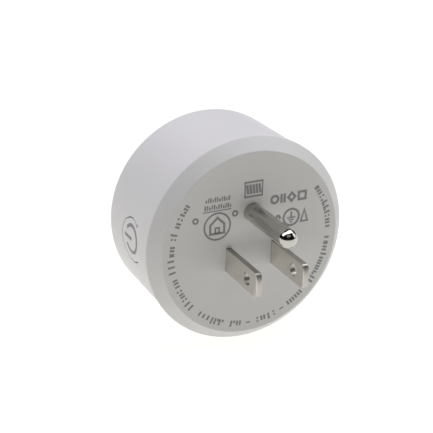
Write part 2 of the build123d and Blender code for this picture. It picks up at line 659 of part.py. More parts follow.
def radio_module():
    """The radio's own small board, with a row of half-round pads along its rear edge."""
    board = block((CONTROL_X - RADIO_THICKNESS, CONTROL_X), RADIO_Y, about(0, RADIO_HALF_Z))
    first = -RADIO_PAD_PITCH * (RADIO_PADS - 1) / 2
    for index in range(RADIO_PADS):
        z = first + RADIO_PAD_PITCH * index
        board -= rod_x(RADIO_Y[1], z, 0, FAR, RADIO_PAD_RADIUS)
    return board


def radio_shield():
    """The pressed can over the radio's parts, open on the side of the module."""
    x1 = CONTROL_X - RADIO_THICKNESS
    can = block((x1 - SHIELD_HEIGHT, x1), SHIELD_Y, about(0, SHIELD_HALF_Z))
    can = fillet(can.edges().group_by(Axis.X)[0], SHIELD_EDGE)
    inside_y = (SHIELD_Y[0] + SHIELD_SHEET, SHIELD_Y[1] - SHIELD_SHEET)
    inside_z = about(0, SHIELD_HALF_Z - SHIELD_SHEET)
    return can - block((x1 - SHIELD_HEIGHT + SHIELD_SHEET, FAR), inside_y, inside_z)


def relay():
    """The sealed power relay with its five pins."""
    case = block(RELAY_X, (RELAY_TOP_Y, BOARD_FRONT_Y - RELAY_STANDOFF), RELAY_Z)
    case = fillet(case.edges().group_by(Axis.Y)[0], RELAY_EDGE)
    pin_root = BOARD_FRONT_Y - RELAY_STANDOFF - MERGE
    return case + joined([rod(x, z, pin_root, BOARD_FRONT_Y, RELAY_PIN_RADIUS) for x, z in RELAY_PINS])


def capacitors():
    """The two supply capacitors, each with a rolled groove near its base."""
    neck = CAPACITOR_RADIUS - CAPACITOR_ROLL
    groove_low, groove_high = CAPACITOR_GROOVE
    can = turned(
        (0, 0),
        (neck, 0),
        (CAPACITOR_RADIUS, -CAPACITOR_ROLL),
        (CAPACITOR_RADIUS, -groove_low),
        (neck, -groove_low - CAPACITOR_ROLL),
        (neck, -groove_high + CAPACITOR_ROLL),
        (CAPACITOR_RADIUS, -groove_high),
        (CAPACITOR_RADIUS, -CAPACITOR_HEIGHT + CAPACITOR_ROLL),
        (neck, -CAPACITOR_HEIGHT),
        (CAPACITOR_TOP_RADIUS, -CAPACITOR_HEIGHT),
        (CAPACITOR_TOP_RADIUS - MERGE, -CAPACITOR_HEIGHT + MERGE),
        (0, -CAPACITOR_HEIGHT + MERGE),
    )
    places = [Pos(CAPACITOR_X, BOARD_FRONT_Y, side * CAPACITOR_HALF_PITCH) for side in SIDES]
    return Compound(children=[place * can for place in places])


def inductor():
    """The drum-core filter choke."""
    x, z = INDUCTOR_PLACE
    waist_end = INDUCTOR_FLANGE + INDUCTOR_SLOPE
    drum = turned(
        (0, 0),
        (INDUCTOR_RADIUS, 0),
        (INDUCTOR_RADIUS, -INDUCTOR_FLANGE),
        (INDUCTOR_WAIST_RADIUS, -waist_end),
        (INDUCTOR_WAIST_RADIUS, -INDUCTOR_HEIGHT + waist_end),
        (INDUCTOR_RADIUS, -INDUCTOR_HEIGHT + INDUCTOR_FLANGE),
        (INDUCTOR_RADIUS, -INDUCTOR_HEIGHT),
        (0, -INDUCTOR_HEIGHT),
    )
    return Pos(x, BOARD_FRONT_Y, z) * drum


def varistor():
    """The round surge arrester, standing on edge on its two leads."""
    x, z = VARISTOR_PLACE
    centre_y = BOARD_FRONT_Y - VARISTOR_STANDOFF - VARISTOR_RADIUS
    disc = Pos(x, centre_y, z) * Cylinder(VARISTOR_RADIUS, VARISTOR_THICKNESS)
    disc = fillet(disc.edges(), VARISTOR_EDGE)
    for side in SIDES:
        leg_x, leg_z = x + side * VARISTOR_LEG_X, z + side * VARISTOR_LEG_Z
        disc += rod(leg_x, leg_z, centre_y + OVERRUN, BOARD_FRONT_Y, LEAD_RADIUS)
    return disc


def fuse_resistor():
    """The flameproof input resistor that also serves as a fuse, standing upright."""
    x, z = RESISTOR_PLACE
    near, far = -RESISTOR_STANDOFF, -RESISTOR_STANDOFF - RESISTOR_LENGTH
    cap, waist = RESISTOR_CAP_RADIUS, RESISTOR_WAIST_RADIUS
    slope = RESISTOR_SLOPE
    body = turned(
        (0, near),
        (cap - slope, near),
        (cap, near - slope),
        (cap, near - RESISTOR_CAP_LENGTH),
        (waist, near - RESISTOR_CAP_LENGTH - slope),
        (waist, far + RESISTOR_CAP_LENGTH + slope),
        (cap, far + RESISTOR_CAP_LENGTH),
        (cap, far + slope),
        (cap - slope, far),
        (0, far),
    )
    return Pos(x, BOARD_FRONT_Y, z) * (body + rod(0, 0, near - MERGE, 0, LEAD_RADIUS))


def chip(x_range, z_range, height, legs):
    """A moulded chip on the front of the main board, with a row of legs on each side."""
    x0, x1 = x_range
    body = block(x_range, (BOARD_FRONT_Y - height, BOARD_FRONT_Y - CHIP_STANDOFF), z_range)
    body = chamfer(body.edges().group_by(Axis.Y)[0], CHIP_EDGE)
    pitch = (x1 - x0) / legs
    leg_y = (BOARD_FRONT_Y - CHIP_LEG_HEIGHT, BOARD_FRONT_Y)
    for index in range(legs):
        leg_x = about(x0 + pitch * (index + 0.5), CHIP_LEG_HALF_WIDTH)
        for z, outward in zip(z_range, SIDES):
            body += block(leg_x, leg_y, (z - outward * CHIP_LEG_ROOT, z + outward * CHIP_LEG_REACH))
    return body


def metering_chip():
    """The chip that measures voltage, current and power."""
    return chip(*METER_CHIP)


def bridge_rectifier():
    """The four-leg rectifier that feeds the supply."""
    return chip(*RECTIFIER_CHIP)


def shunt_resistor():
    """The metal-strip current sensor on the rear of the main board."""
    strip = block(SHUNT_X, (BOARD_REAR_Y, BOARD_REAR_Y + SHUNT_THICKNESS), SHUNT_Z)
    return fillet(strip.edges().filter_by(Axis.Y), SHUNT_THICKNESS)


def switch_base():
    """The tact switch's body on the outside of the control board, with four legs."""
    x0 = CONTROL_OUTER_X
    base = block((x0, x0 + SWITCH_HEIGHT), about(NUB_Y, SWITCH_HALF), about(0, SWITCH_HALF))
    base = chamfer(base.edges().filter_by(Axis.X), SWITCH_CORNER)
    base -= rod_x(NUB_Y, 0, x0 + PLUNGER_BORE_HEIGHT, FAR, PLUNGER_BORE)
    for side in SIDES:
        leg_z = (side * (SWITCH_HALF - MERGE), side * (SWITCH_HALF + SWITCH_LEG_REACH))
        for y in about(NUB_Y, SWITCH_LEG_Y):
            base += block((x0, x0 + SWITCH_LEG_HALF), about(y, SWITCH_LEG_HALF), leg_z)
    return base


def switch_plunger():
    """The tact switch's plunger."""
    stem = rod_x(NUB_Y, 0, CONTROL_OUTER_X + PLUNGER_ROOT_HEIGHT, PLUNGER_TIP_X, PLUNGER_RADIUS)
    return fillet(stem.edges().group_by(Axis.X)[-1], PLUNGER_EDGE)


def button_tab():
    """The button: the wall inside the C-shaped slot, thinned where it bends."""
    radius = BUTTON_SLOT_RADIUS - BUTTON_SLOT_WIDTH / 2
    cut_y = HINGE_Y - BUTTON_HINGE_GAP
    wall_end_y = BUTTON_Y - 2 * BUTTON_SLOT_RADIUS
    tab = wall_ring(0, BUTTON_THICKNESS, PARTING_Y, wall_end_y) & button_outline(radius, cut_y)
    relief_y = cut_y - BUTTON_HINGE_LENGTH
    tab -= wall_ring(BUTTON_HINGE_THICKNESS, WALL, HINGE_Y + OVERRUN, relief_y)
    tab -= slot_ends()
    nub_root = wall_radius(NUB_Y) - BUTTON_THICKNESS + NUB_ROOT
    nub = rod_x(NUB_Y, 0, PLUNGER_TIP_X + PLUNGER_GAP, nub_root, NUB_RADIUS)
    return tab + fillet(nub.edges().group_by(Axis.X)[0], NUB_EDGE)


def indicator_led():
    """The side-facing lamp on the control board, behind the light pipe."""
    lamp = block((CONTROL_OUTER_X, CONTROL_OUTER_X + LED_HEIGHT), LED_Y, about(PIPE_Z, LED_HALF_Z))
    return chamfer(lamp.edges().group_by(Axis.Y)[0], CHIP_EDGE)


def light_pipe():
    """The clear pipe that shows the lamp on the front face."""
    pipe = rod(PIPE_X, PIPE_Z, FRONT_Y + PIPE_FIT, PIPE_REAR_Y, PIPE_RADIUS)
    pipe = fillet(pipe.edges().group_by(Axis.Y)[0], PIPE_EDGE)
    collar_y = FRONT_INSIDE_Y + INSERT_SEAT_GAP
    collar = rod(PIPE_X, PIPE_Z, collar_y, collar_y + PIPE_COLLAR_LENGTH, PIPE_RADIUS + PIPE_COLLAR)
    collar -= rod(0, 0, -FAR, 0, INSERT_FLANGE_RADIUS + BOARD_HOLE_ROOM)
    return pipe + collar


def board_screws():
    """The screws that hold the main board to the case's bosses."""
    return Compound(
        children=[screw(x, z, BOARD_REAR_Y, BOARD_SCREW_LENGTH) for x, z in BOARD_SCREW_PLACES]
    )


def carrier_screws():
    """The screws that hold the contact carrier to the outlet insert."""
    places = [(side * CARRIER_SCREW_X, CARRIER_SCREW_Z) for side in SIDES]
    return Compound(children=[screw(x, z, EAR_REAR_Y, CARRIER_SCREW_LENGTH) for x, z in places])


def retainer_screws():
    """The screws that hold the blade retainer to the rear cover."""
    upside_down = Rot(180, 0, 0) * screw(0, 0, 0, RETAINER_SCREW_LENGTH)
    places = [Pos(side * RETAINER_SCREW_X, RETAINER_FRONT_Y, 0) for side in SIDES]
    return Compound(children=[place * upside_down for place in places])


PARTS = {
    "body_shell": body_shell(),
    "rear_cover": rear_cover(),
    "button_tab": button_tab(),
    "live_blade": blade(-1),
    "neutral_blade": blade(1),
    "ground_pin": ground_pin(),
    "blade_retainer": blade_retainer(),
    "ground_strap": ground_strap(),
    "outlet_insert": outlet_insert(),
    "contact_carrier": contact_carrier(),
    "live_contact": blade_contact(-1),
    "neutral_contact": blade_contact(1),
    "ground_contact": ground_contact(),
    "main_board": main_board(),
    "control_board": control_board(),
    "radio_module": radio_module(),
    "radio_shield": radio_shield(),
    "relay": relay(),
    "capacitors": capacitors(),
    "inductor": inductor(),
    "varistor": varistor(),
    "fuse_resistor": fuse_resistor(),
    "bridge_rectifier": bridge_rectifier(),
    "metering_chip": metering_chip(),
    "shunt_resistor": shunt_resistor(),
    "switch_base": switch_base(),
    "switch_plunger": switch_plunger(),
    "indicator_led": indicator_led(),
    "light_pipe": light_pipe(),
    "board_screws": board_screws(),
    "carrier_screws": carrier_screws(),
    "retainer_screws": retainer_screws(),
}

os.makedirs("parts", exist_ok=True)
for node, solid in PARTS.items():
    export_step(solid, f"parts/{node}.step")
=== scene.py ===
import json
from math import cos, hypot, pi, radians, sin

import bmesh
import bpy
from mathutils import Matrix, Vector

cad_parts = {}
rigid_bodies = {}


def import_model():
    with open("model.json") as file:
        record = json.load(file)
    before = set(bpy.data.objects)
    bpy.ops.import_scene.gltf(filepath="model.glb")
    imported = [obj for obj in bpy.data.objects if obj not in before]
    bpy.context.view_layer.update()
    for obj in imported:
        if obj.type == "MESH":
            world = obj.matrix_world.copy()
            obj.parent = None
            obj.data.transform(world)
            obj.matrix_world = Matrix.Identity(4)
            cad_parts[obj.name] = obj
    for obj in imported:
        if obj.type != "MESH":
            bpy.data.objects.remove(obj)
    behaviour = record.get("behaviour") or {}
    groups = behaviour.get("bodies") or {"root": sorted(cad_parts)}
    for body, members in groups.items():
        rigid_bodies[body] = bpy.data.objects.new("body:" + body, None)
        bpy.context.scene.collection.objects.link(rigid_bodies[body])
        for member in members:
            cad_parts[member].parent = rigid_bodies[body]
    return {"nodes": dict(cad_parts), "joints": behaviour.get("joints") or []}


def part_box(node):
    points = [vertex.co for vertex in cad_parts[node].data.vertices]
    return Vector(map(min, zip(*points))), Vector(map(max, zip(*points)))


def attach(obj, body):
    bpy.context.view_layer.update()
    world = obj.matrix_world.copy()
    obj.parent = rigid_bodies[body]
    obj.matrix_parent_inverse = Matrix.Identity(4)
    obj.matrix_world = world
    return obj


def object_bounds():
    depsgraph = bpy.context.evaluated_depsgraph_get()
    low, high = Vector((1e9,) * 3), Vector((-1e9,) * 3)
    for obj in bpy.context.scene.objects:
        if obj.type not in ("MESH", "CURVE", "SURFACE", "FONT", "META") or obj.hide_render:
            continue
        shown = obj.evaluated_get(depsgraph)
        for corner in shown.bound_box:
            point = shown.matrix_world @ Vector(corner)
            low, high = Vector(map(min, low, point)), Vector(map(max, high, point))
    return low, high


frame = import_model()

# Looks for the round plug-in power meter. Lengths are in metres; MM turns millimetres into them.
# +Y points along the blades into the wall, +Z is up with the ground pin above the blades, and
# the button is on +X. The outlet's face looks towards -Y.

MM = 0.001
NODES = frame["nodes"]
CAD_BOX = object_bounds()

# ---------------------------------------------------------------------------------------------
# Node trees


class Value:
    """A socket of a node tree, whose arithmetic adds Math nodes."""

    def __init__(self, tree, node, socket):
        self.tree = tree
        self.node = node
        self.socket = socket

    def output(self, name):
        """Another output of the same node."""
        return Value(self.tree, self.node, pick(self.node.outputs, name))

    def math(self, operation, *others):
        return self.tree.math(operation, self, *others)

    def __add__(self, other):
        return self.math("ADD", other)

    __radd__ = __add__

    def __sub__(self, other):
        return self.math("SUBTRACT", other)

    def __rsub__(self, other):
        return self.tree.math("SUBTRACT", other, self)

    def __mul__(self, other):
        return self.math("MULTIPLY", other)

    __rmul__ = __mul__

    def __truediv__(self, other):
        return self.math("DIVIDE", other)


def pick(sockets, key):
    """The socket with that number, or the first shown one with that name or identifier."""
    if isinstance(key, int):
        return sockets[key]
    return next(s for s in sockets if s.enabled and key in (s.name, s.identifier))


class Tree:
    """A node tree being built, of a material or of Geometry Nodes."""

    def __init__(self, tree):
        self.tree = tree
        tree.nodes.clear()

    def node(self, kind, settings=None, inputs=None):
        """Adds a node: its settings first, then its sockets' values or links."""
        made = self.tree.nodes.new(kind)
        for name, value in (settings or {}).items():
            setattr(made, name, value)
        for key, value in (inputs or {}).items():
            socket = pick(made.inputs, key)
            if isinstance(value, Value):
                self.tree.links.new(value.socket, socket)
            else:
                socket.default_value = value
        shown = [socket for socket in made.outputs if socket.enabled]
        return Value(self, made, shown[0] if shown else None)

    def math(self, operation, *values):
        return self.node("ShaderNodeMath", {"operation": operation}, dict(enumerate(values)))


class Finish(Tree):
    """A material being built."""

    def __init__(self, name):
        self.material = bpy.data.materials.new(name)
        self.material.use_nodes = True
        super().__init__(self.material.node_tree)
        self.place = self.node("ShaderNodeTexCoord").output("Object")

    def stretched(self, scale, centre=(0, 0, 0)):
        """The object's coordinates from a centre, scaled by axis."""
        moved = self.node(
            "ShaderNodeVectorMath", {"operation": "SUBTRACT"}, {0: self.place, 1: centre}
        )
        return self.node("ShaderNodeVectorMath", {"operation": "MULTIPLY"}, {0: moved, 1: scale})

    def axes(self, vector=None):
        """The three parts of a vector."""
        parts = self.node("ShaderNodeSeparateXYZ", None, {"Vector": vector or self.place})
        return parts.output("X"), parts.output("Y"), parts.output("Z")

    def noise(self, size, detail=2.0, vector=None, roughness=0.5):
        """Soft noise from 0 to 1 whose blobs are about that many millimetres across."""
        return self.node(
            "ShaderNodeTexNoise",
            None,
            {
                "Vector": vector or self.place,
                "Scale": 1.0 / (size * MM),
                "Detail": detail,
                "Roughness": roughness,
            },
        )

    def cells(self, size, feature="F1", vector=None):
        """Distance in a cell pattern whose cells are about that many millimetres across."""
        return self.node(
            "ShaderNodeTexVoronoi",
            {"feature": feature},
            {"Vector": vector or self.place, "Scale": 1.0 / (size * MM)},
        )

    def between(self, share, low, high):
        """The number at that share of the way from low to high."""
        return share * (high - low) + low

    def step(self, value, start, end):
        """0 before start and 1 after end, smooth between them."""
        return self.node(
            "ShaderNodeMapRange",
            {"interpolation_type": "SMOOTHSTEP"},
            {"Value": value, "From Min": start, "From Max": end},
        )

    def mixed(self, share, first, second):
        """The colour at that share of the way from the first to the second."""
        first, second = (c if isinstance(c, Value) else (*c, 1.0) for c in (first, second))
        sockets = {"Factor": share, "A": first, "B": second}
        return self.node("ShaderNodeMix", {"data_type": "RGBA"}, sockets)

    def bump(self, height, depth, normal=None):
        """A bump whose full height is that many millimetres, on top of another bump's normal."""
        sockets = {"Height": height, "Strength": 1.0, "Distance": depth * MM}
        if normal:
            sockets["Normal"] = normal
        return self.node("ShaderNodeBump", None, sockets)

    def finish(self, sockets):
        """Puts the values on one Principled surface and returns the material."""
        surface = self.node("ShaderNodeBsdfPrincipled", None, sockets)
        self.node("ShaderNodeOutputMaterial", None, {"Surface": surface})
        return self.material


# ---------------------------------------------------------------------------------------------
# Finishes


def darker(colour, share):
    """A colour with only that share of its brightness."""
    return tuple(c * share for c in colour)


def moulded(name, colour, roughness, grain=0.006):
    """Moulded plastic: a fine eroded grain, faint flow marks and uneven gloss."""
    finish = Finish(name)
    flow = finish.noise(18, 3, finish.stretched((1, 0.35, 1)))
    cloud = finish.noise(4.5, 4)
    eroded = finish.noise(0.22, 3, roughness=0.6)
    pits = finish.cells(0.45)
    shadow = darker(colour, 0.96)
    warm = (shadow[0], shadow[1] * 0.995, shadow[2] * 0.975)
    tone = finish.mixed(flow, colour, warm)
    tone = finish.mixed(finish.between(cloud, 0, 0.35), tone, shadow)
    rough = finish.between(cloud, roughness - 0.05, roughness + 0.05)
    rough = rough + finish.between(eroded, -0.03, 0.03)
    relief = finish.bump(eroded * 0.7 + pits * 0.3, grain)
    return finish.finish({"Base Color": tone, "Roughness": rough, "Normal": relief, "IOR": 1.53})


TARNISH = (0.5, 0.45, 0.36)
# The punched edges' own grey, made dark enough to act also as a painted dark reflection
BURR_AND_DARK_REFLECTION_GREY = (0.10, 0.097, 0.085)


def plated(name, colour, roughness, stretch=(1, 0.04, 1), wear=0.25, burr_and_dark_reflection=0, worn_from=None):
    """Plated or rolled metal: fine drawing lines, a cloudy lustre and light handling marks.

    stretch scales the pattern of the lines, which run along the axis with the smallest number.
    wear is how far the tarnish shows. The edge setting after it darkens and roughens the narrow
    punched edges, which face up and down, and about half as much the ends, which face the wall:
    partly their real rough sheared finish, partly a painted dark reflection. worn_from is where,
    in millimetres along Y, handling starts to polish the tip.
    """
    finish = Finish(name)
    lines = finish.noise(0.14, 3, finish.stretched(stretch), 0.65)
    cloud = finish.noise(2.6, 4)
    marks = finish.cells(1.7, "DISTANCE_TO_EDGE", finish.stretched((1, 0.5, 1.3)))
    scuffed = 1 - finish.step(marks, 0.0, 0.025)
    tone = finish.mixed(finish.step(cloud, 0.48, 0.8) * wear, colour, TARNISH)
    tone = finish.mixed(lines * 0.16, tone, darker(colour, 0.72))
    rough = finish.between(cloud, roughness - 0.04, roughness + 0.05)
    rough = rough + finish.between(lines, -0.04, 0.06) + scuffed * 0.05
    # Up- and down-facing edges and the ends go darker: partly real sheared burr, partly painted
    # dark reflection
    if burr_and_dark_reflection:
        _, outward, upward = finish.axes(finish.node("ShaderNodeNewGeometry").output("Normal"))
        punched_and_dark_reflection = finish.step(upward.math("ABSOLUTE"), 0.75, 0.95)
        punched_and_dark_reflection = punched_and_dark_reflection.math("MAXIMUM", finish.step(outward, 0.2, 0.6) * 0.55)
        tone = finish.mixed(punched_and_dark_reflection * burr_and_dark_reflection, tone, BURR_AND_DARK_REFLECTION_GREY)
        rough = rough + punched_and_dark_reflection * 0.15
    if worn_from:
        _, along, _ = finish.axes()
        rough = rough - finish.step(along, worn_from * MM, (worn_from + 1.0) * MM) * 0.1
    relief = finish.bump(lines, 0.0035)
    relief = finish.bump(scuffed, -0.0015, relief)
    sockets = {"Base Color": tone, "Metallic": 1.0, "Roughness": rough, "Normal": relief}
    return finish.finish(sockets)


def laminate(name, mask_colour, trace_colour, edge_colour, layers_along):
    """A circuit board: solder mask over copper runs, with the bare weave on its sawn edges.

    layers_along is the axis, X or Y, that the board's faces look along.
    """
    finish = Finish(name)
    near, far = (
        finish.node(
            "ShaderNodeTexVoronoi",
            {"feature": feature, "distance": "CHEBYCHEV"},
            {"Vector": finish.place, "Scale": 1.0 / (3.4 * MM), "Randomness": 0.8},
        )
        for feature in ("F1", "F2")
    )
    gap = far - near
    runs = finish.step(gap, 0.16, 0.19) * (1 - finish.step(gap, 0.36, 0.39))
    weave = finish.node(
        "ShaderNodeTexWave",
        {"bands_direction": layers_along},
        {"Vector": finish.place, "Scale": 1.0 / (0.9 * MM), "Distortion": 1.5},
    )
    x, y, _ = finish.axes(finish.node("ShaderNodeNewGeometry").output("Normal"))
    along = x if layers_along == "X" else y
    flat = finish.step(along.math("ABSOLUTE"), 0.6, 0.8)
    skin = finish.mixed(runs, mask_colour, trace_colour)
    skin = finish.mixed(finish.noise(6, 3) * 0.25, skin, darker(mask_colour, 0.6))
    edge = finish.mixed(weave, edge_colour, darker(edge_colour, 0.7))
    tone = finish.mixed(flat, edge, skin)
    rough = finish.between(flat, 0.7, 0.3) + finish.noise(0.5, 2) * 0.08
    relief = finish.bump(runs * flat + weave * (1 - flat) * 0.4, 0.03)
    return finish.finish({"Base Color": tone, "Roughness": rough, "Normal": relief})


DUST = (0.9, 0.9, 0.9)


def lacquered(name, colour, roughness, dimple, dust=0.0):
    """A dipped or painted coat: slow ripples, uneven gloss and, where it shows, some dust."""
    finish = Finish(name)
    ripple = finish.noise(1.8, 2)
    fine = finish.noise(0.3, 3)
    specks = (1 - finish.step(finish.cells(0.8), 0.05, 0.12)) * dust
    tone = finish.mixed(ripple * 0.5, colour, darker(colour, 0.75))
    tone = finish.mixed(specks, tone, DUST)
    rough = finish.between(fine, roughness - 0.06, roughness + 0.08)
    relief = finish.bump(ripple + fine * 0.2, dimple)
    return finish.finish({"Base Color": tone, "Roughness": rough, "Normal": relief})


def sleeved(name, sleeve, stripe, top):
    """A capacitor: a shrunk sleeve with its polarity stripe, and a bare top."""
    low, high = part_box("capacitors")
    finish = Finish(name)
    x, y, _ = finish.axes(finish.stretched((1, 1, 1), ((low.x + high.x) / 2, 0, 0)))
    side = (high.x - low.x) / 2
    striped = finish.step(x * -1, side * 0.72, side * 0.76)
    bare = 1 - finish.step(y, low.y + 0.05 * MM, low.y + 0.25 * MM)
    shrink = finish.noise(1.2, 3, finish.stretched((1, 0.2, 1)))
    tone = finish.mixed(striped, sleeve, stripe)
    tone = finish.mixed(finish.noise(0.6, 3) * 0.15, tone, (0.2, 0.2, 0.22))
    tone = finish.mixed(bare, tone, top)
    rough = finish.between(shrink, 0.26, 0.42)
    relief = finish.bump(shrink, 0.05)
    sockets = {"Base Color": tone, "Metallic": bare, "Roughness": rough, "Normal": relief}
    return finish.finish(sockets)


def clear(name, colour, roughness, transmission, ior):
    """Clear moulded resin with faint haze and moulding lines."""
    finish = Finish(name)
    haze = finish.noise(0.8, 3)
    lines = finish.noise(0.2, 2, finish.stretched((1, 0.1, 1)))
    tone = finish.mixed(haze, colour, darker(colour, 0.92))
    return finish.finish(
        {
            "Base Color": tone,
            "Roughness": finish.between(haze, roughness, roughness + 0.08),
            "Transmission Weight": transmission,
            "IOR": ior,
            "Normal": finish.bump(lines, 0.003),
        }
    )


def ink(name, colour, thin_colour):
    """Pad-printed ink: slightly thin and uneven over the plastic's grain."""
    finish = Finish(name)
    thin = finish.noise(0.35, 4, roughness=0.7)
    fleck = 1 - finish.step(finish.cells(0.5), 0.03, 0.1)
    tone = finish.mixed(thin * 0.35 + fleck * 0.15, colour, thin_colour)
    return finish.finish(
        {
            "Base Color": tone,
            "Roughness": finish.between(thin, 0.42, 0.6),
            "Normal": finish.bump(thin, 0.004),
        }
    )


WHITE = (0.70, 0.70, 0.705)
MASK_GREEN = (0.012, 0.12, 0.045)
TRACE_GREEN = (0.03, 0.21, 0.08)
BARE_WEAVE = (0.42, 0.40, 0.22)
LINES_ACROSS = (0.1, 1, 1)
LINES_UP = (1, 1, 0.1)
NO_LINES = (1, 1, 1)

FINISHES = {
    "case_plastic": moulded("case_plastic", WHITE, 0.42),
    "cover_plastic": moulded("cover_plastic", (0.66, 0.66, 0.655), 0.48),
    "button_plastic": moulded("button_plastic", WHITE, 0.42),
    "outlet_plastic": moulded("outlet_plastic", (0.69, 0.69, 0.69), 0.4),
    "inner_plastic": moulded("inner_plastic", (0.10, 0.10, 0.105), 0.5, 0.012),
    "nickel": plated("nickel", (0.53, 0.52, 0.485), 0.19, wear=0.1, worn_from=17.0),
    # The blades' edges and ends carry a painted dark reflection on top of their real burr
    "blade_nickel": plated("blade_nickel", (0.73, 0.705, 0.65), 0.3, burr_and_dark_reflection=0.65),
    "spring_bronze": plated("spring_bronze", (0.72, 0.45, 0.22), 0.28, LINES_ACROSS),
    "copper_strap": plated("copper_strap", (0.83, 0.42, 0.26), 0.3, LINES_UP),
    "board_green": laminate("board_green", MASK_GREEN, TRACE_GREEN, BARE_WEAVE, "Y"),
    "side_board_green": laminate("side_board_green", MASK_GREEN, TRACE_GREEN, BARE_WEAVE, "X"),
    "module_board": laminate(
        "module_board", (0.01, 0.02, 0.05), (0.02, 0.05, 0.10), (0.35, 0.33, 0.2), "X"
    ),
    "shield_can": plated("shield_can", (0.72, 0.73, 0.74), 0.26, LINES_UP),
    "relay_case": moulded("relay_case", (0.015, 0.05, 0.22), 0.38, 0.01),
    "capacitor_sleeve": sleeved(
        "capacitor_sleeve", (0.02, 0.02, 0.03), (0.55, 0.56, 0.58), (0.75, 0.75, 0.76)
    ),
    "ferrite": lacquered("ferrite", (0.035, 0.033, 0.032), 0.55, 0.05),
    "varistor_blue": lacquered("varistor_blue", (0.02, 0.10, 0.35), 0.3, 0.08),
    "resistor_coat": lacquered("resistor_coat", (0.12, 0.22, 0.13), 0.45, 0.05),
    "chip_black": lacquered("chip_black", (0.018, 0.018, 0.019), 0.5, 0.01, dust=0.04),
    "shunt_metal": plated("shunt_metal", (0.62, 0.56, 0.50), 0.34, LINES_ACROSS),
    "switch_black": moulded("switch_black", (0.02, 0.02, 0.021), 0.4, 0.008),
    "lamp_lens": clear("lamp_lens", (0.9, 0.9, 0.8), 0.25, 0.4, 1.5),
    "clear_pipe": clear("clear_pipe", (0.94, 0.95, 0.96), 0.08, 0.9, 1.49),
    "screw_steel": plated("screw_steel", (0.55, 0.56, 0.58), 0.3, NO_LINES),
    "print_grey": ink("print_grey", (0.21, 0.21, 0.208), (0.399, 0.399, 0.395)),
    "tin": plated("tin", (0.70, 0.70, 0.69), 0.24, NO_LINES),
    "enamel_wire": lacquered("enamel_wire", (0.55, 0.17, 0.05), 0.22, 0.01),
    "ceramic_tan": lacquered("ceramic_tan", (0.42, 0.30, 0.17), 0.5, 0.01),
    "gold_flash": plated("gold_flash", (0.85, 0.62, 0.28), 0.25, NO_LINES),
}
# Nodes whose finish isn't the one that the solid model names
OWN_FINISHES = {
    "live_blade": "blade_nickel",
    "neutral_blade": "blade_nickel",
    "control_board": "side_board_green",
}

for node in NODES.values():
    for slot in node.material_slots:
        slot.material = FINISHES[slot.material.name.split(".")[0]]
for name, finish_name in OWN_FINISHES.items():
    NODES[name].material_slots[0].material = FINISHES[finish_name]


# ---------------------------------------------------------------------------------------------
# Printed marks. They are plain pictograms and strokes that spell nothing.

INK_TOP = 0.014 * MM
INK_BOTTOM = -0.01 * MM

# The side wall at the rear rim and at the front: how far along Y, and its outside radius
WALL_REAR = (-3.5 * MM, 26.95 * MM)
WALL_FRONT = (-29.8 * MM, 26.7 * MM)
# A stroke's bend reaches out no further than its half width over this
SHARPEST_BEND = 0.4


def on_face(u, v, height):
    """A point of the flat rear face, u along X and v along Z."""
    return Vector((u, height, v))


def on_wall(u, v, height):
    """A point of the side wall on +X, u forwards along -Y and v round the wall towards +Z."""
    radius = wall_radius(-u) + height
    angle = v / radius
    return Vector((radius * cos(angle), -u, radius * sin(angle)))


def wall_radius(y):
    """The outside radius of the side wall, which narrows towards the front."""
    (rear_y, rear_radius), (front_y, front_radius) = WALL_REAR, WALL_FRONT
    share = (y - rear_y) / (front_y - rear_y)
    return rear_radius + (front_radius - rear_radius) * share


def arc(centre, radius, start, end, steps):
    """Points along an arc, in degrees from +u towards +v."""
    turns = [radians(start + (end - start) * i / steps) for i in range(steps + 1)]
    return [(centre[0] + radius * cos(t), centre[1] + radius * sin(t)) for t in turns]


def circle(centre, radius, steps):
    """Points round a circle, the first not repeated."""
    return arc(centre, radius, 0, 360, steps)[:-1]


def stroke(bm, points, width, closed=False, place=on_face):
    """Adds an ink stroke along points in millimetres: a thin closed ribbon with mitred bends."""
    count = len(points)
    flat = [Vector((u, v)) for u, v in points]
    rails = []
    for i, point in enumerate(flat):
        before = flat[i - 1] if closed or i else None
        after = flat[(i + 1) % count] if closed or i < count - 1 else None
        ways = [(b - a).normalized() for a, b in ((before, point), (point, after)) if a and b]
        normals = [Vector((-way.y, way.x)) for way in ways]
        bend = sum(normals, Vector((0, 0))).normalized()
        reach = width / 2 / max(bend.dot(normals[0]), SHARPEST_BEND)
        sides = [point + bend * reach, point - bend * reach]
        rails.append(
            [
                bm.verts.new(place(side.x * MM, side.y * MM, height))
                for height in (INK_TOP, INK_BOTTOM)
                for side in sides
            ]
        )
    spans = list(zip(rails, rails[1:]))
    if closed:
        spans.append((rails[-1], rails[0]))
    for (a, b, c, d), (e, f, g, h) in spans:
        for face in ((a, b, f, e), (c, g, h, d), (a, e, g, c), (b, d, h, f)):
            bm.faces.new(face)
    if not closed:
        a, b, c, d = rails[0]
        bm.faces.new((a, c, d, b))
        a, b, c, d = rails[-1]
        bm.faces.new((a, b, d, c))


def finished_mesh(name, bm, finish, body, smooth=False):
    """Turns mesh work into a piece with outward faces, a finish and the body it rides on."""
    bmesh.ops.recalc_face_normals(bm, faces=bm.faces)
    mesh = bpy.data.meshes.new(name)
    bm.to_mesh(mesh)
    bm.free()
    mesh.materials.append(FINISHES[finish])
    if smooth:
        mesh.shade_smooth()
    piece = bpy.data.objects.new(name, mesh)
    bpy.context.scene.collection.objects.link(piece)
    if body:
        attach(piece, body)
    return piece


